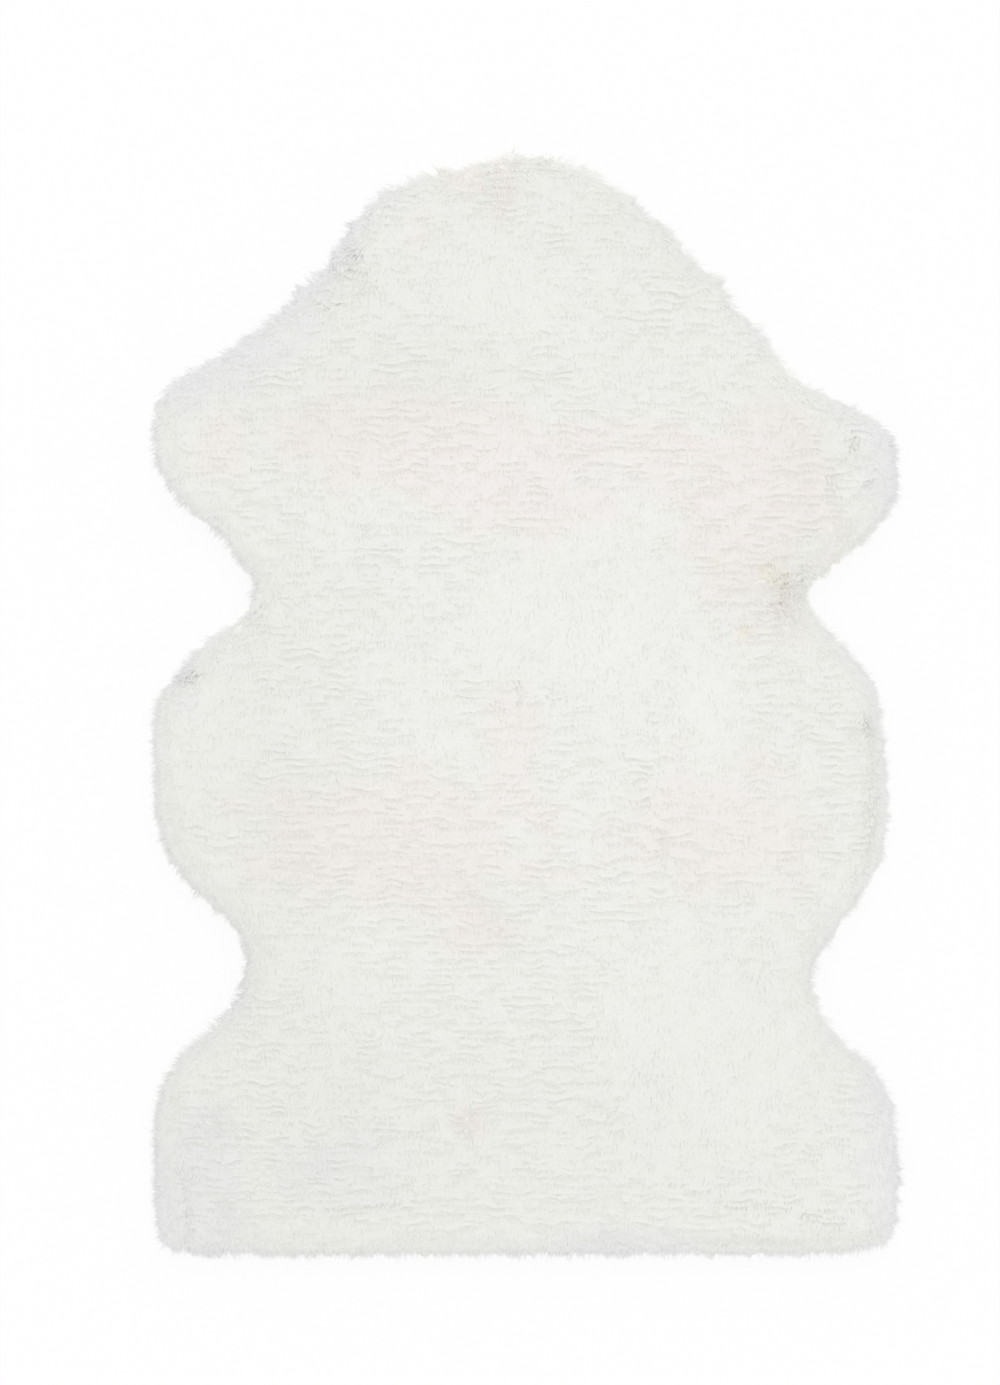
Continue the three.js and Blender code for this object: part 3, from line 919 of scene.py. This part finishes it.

# %% [markdown]
# ## The finishes
# The nap is taken to be fine acrylic and polyester hair, an off-white with no dye in it. Its
# colour is painted brighter at the tips, a painted light for the light that passes through
# them, and warmer and darker towards the roots, a painted shade deep in the nap.

# %% Fake-fur hair
# Fine crimped fibre is nearly matt, with a faint sheen where it turns from the eye.
fur, tree, output = new_material("acrylic_fur_hair")
place = add_node(tree, "ShaderNodeUVMap", {"uv_map": "OFBake"})
split = add_node(tree, "ShaderNodeSeparateXYZ", None, {0: place.outputs["UV"]})
# Painted light and shade along each strand: dark at the root, bright at the tip.
painted_depth_shade = add_node(tree, "ShaderNodeValToRGB", None, {"Fac": split.outputs["Y"]})
painted_depth_shade.color_ramp.elements[0].color = colour("#e4e3dd")
painted_depth_shade.color_ramp.elements[1].color = colour("#fdfdfb")
halfway = painted_depth_shade.color_ramp.elements.new(0.5)
halfway.color = colour("#f3f3ef")
across = add_node(tree, "ShaderNodeValToRGB", None, {"Fac": split.outputs["X"]})
across.color_ramp.elements[0].color = colour("#fafafd")
across.color_ramp.elements[1].color = colour("#fdfaf2")
neutral = across.color_ramp.elements.new(0.4)
neutral.color = colour("#fdfefc")
rose = across.color_ramp.elements.new(0.8)
rose.color = colour("#fffafa")
both = add_node(tree, "ShaderNodeMix", {"data_type": "RGBA", "blend_type": "MULTIPLY"},
                {"Factor": 1.0})
tree.links.new(painted_depth_shade.outputs["Color"], both.inputs["A"])
tree.links.new(across.outputs["Color"], both.inputs["B"])
hair = add_node(tree, "ShaderNodeBsdfPrincipled", None,
                {"Base Color": both.outputs["Result"], "Roughness": 0.75,
                 "Specular IOR Level": 0.25, "Sheen Weight": 0.1, "Sheen Roughness": 0.5})
tree.links.new(hair.outputs[0], output.inputs["Surface"])
for piece in nap_pieces + [rim_hair]:
    piece.data.materials.append(fur)

# %% The dense mass at the roots
# Fibre packed this close has hardly any shine, and varies a little from clump to clump.
CLUMP = 9 * MM

root_mass, tree, output = new_material("acrylic_fur_roots")
place = add_node(tree, "ShaderNodeTexCoord")
clumps = add_node(tree, "ShaderNodeTexNoise", None,
                  {"Vector": place.outputs["Object"], "Scale": 1 / CLUMP, "Detail": 4})
shade = add_node(tree, "ShaderNodeValToRGB", None, {"Fac": clumps.outputs["Fac"]})
shade.color_ramp.elements[0].color = colour("#f6f5f1")
shade.color_ramp.elements[1].color = colour("#f9f9f6")
dense = add_node(tree, "ShaderNodeBsdfPrincipled", None,
                 {"Base Color": shade.outputs["Color"], "Roughness": 0.9,
                  "Specular IOR Level": 0.2})
tree.links.new(dense.outputs[0], output.inputs["Surface"])
bed.data.materials.append(root_mass)

# %% The knitted cloth
# The knit is matt and a little yellower than the hair, with fine ribs along the rug. A wave
# of scale 1 has 20 radians to the metre, which gives the scale for ribs of a known width.
RIB_WIDTH = 1.2 * MM
WAVE_RADIANS = 20

knit, tree, output = new_material("knitted_polyester_ground")
place = add_node(tree, "ShaderNodeTexCoord")
wales = add_node(tree, "ShaderNodeTexWave", {"bands_direction": "X"},
                 {"Vector": place.outputs["Object"], "Scale": 1 / (WAVE_RADIANS * RIB_WIDTH) * 2 * math.pi})
shade = add_node(tree, "ShaderNodeValToRGB", None, {"Fac": wales.outputs["Fac"]})
shade.color_ramp.elements[0].color = colour("#dcd8cf")
shade.color_ramp.elements[1].color = colour("#f0ede6")
cloth = add_node(tree, "ShaderNodeBsdfPrincipled", None,
                 {"Base Color": shade.outputs["Color"], "Roughness": 0.9,
                  "Specular IOR Level": 0.2})
tree.links.new(cloth.outputs[0], output.inputs["Surface"])
ground.data.materials.append(knit)

# %% [markdown]
# ## Fasten everything to the frame
# The rug has no moving part, so each piece rides on the one body. Together they stand for
# the imported solid, which is hidden.

# %% Ride and replace
for piece in nap_pieces + [rim_hair, bed]:
    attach(piece, "root")
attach(ground, "root")
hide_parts("fur_rug")
